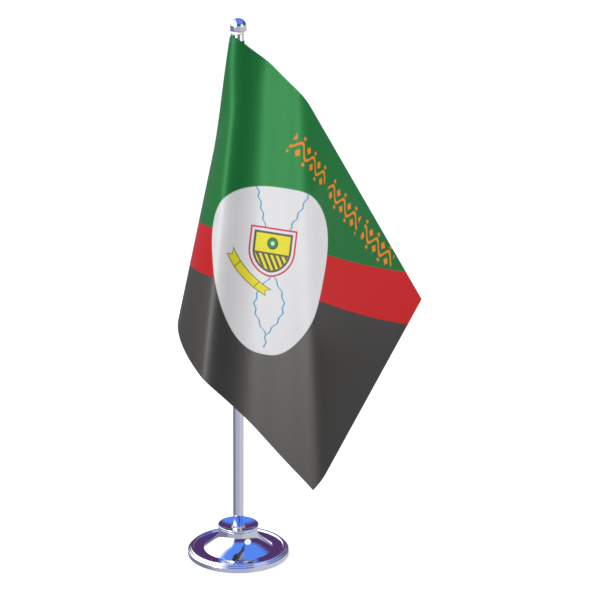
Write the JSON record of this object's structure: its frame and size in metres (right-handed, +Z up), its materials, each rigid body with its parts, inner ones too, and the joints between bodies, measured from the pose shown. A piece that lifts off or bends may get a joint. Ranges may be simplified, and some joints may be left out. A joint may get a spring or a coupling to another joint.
{
  "type": "desk flag stand",
  "caption": "Desk flag stand: round chromed bell base with inner ballast, plug-in chromed pole, push-in domed finial and a printed satin flag hanging folded from a sleeve.",
  "frame": {"origin": "centre of the felt pad's underside, on the table, under the middle of the pole", "axes": "+Z up along the pole, -Y towards the viewer who reads the flag, +X towards the flag's fly"},
  "size_m": [0.1213, 0.1567, 0.3059],
  "materials": {
    "chrome": "mirror polished chrome plating",
    "cast_iron": "rough as cast",
    "zinc_steel": "zinc plated",
    "nylon": "moulded natural nylon",
    "black_plate": "black lacquered sheet steel",
    "felt": "dense pressed felt",
    "satin": "printed polyester satin with a soft sheen, green above a red diagonal band and dark grey below"
  },
  "bodies": {
    "base": {"base_shell": "chrome", "socket_cup": "chrome", "socket_bush": "nylon", "ballast_ring": "cast_iron", "clamp_washer": "zinc_steel", "clamp_nut": "zinc_steel", "bottom_plate": "black_plate", "felt_pad": "felt"},
    "foot": {"pole_foot_plug": "nylon"},
    "pole": {"pole_tube": "chrome", "pole_top_plug": "nylon"},
    "finial": {"finial_cap": "chrome", "finial_pin": "zinc_steel"},
    "flag": {"flag_cloth": "satin", "hoist_sleeve": "satin"}
  },
  "joints": [
    {"name": "pole_lift", "type": "slide", "parent": "base", "child": "foot", "axis": [0, 0, 1], "range_m": [0, 0.014]},
    {"name": "pole_turn", "type": "hinge", "parent": "foot", "child": "pole", "pos_m": [0, 0, 0.02], "axis": [0, 0, 1], "continuous": true},
    {"name": "finial_lift", "type": "slide", "parent": "pole", "child": "finial", "axis": [0, 0, 1], "range_m": [0, 0.008]},
    {"name": "flag_swivel", "type": "hinge", "parent": "pole", "child": "flag", "pos_m": [0, 0, 0.22], "axis": [0, 0, 1], "continuous": true}
  ]
}
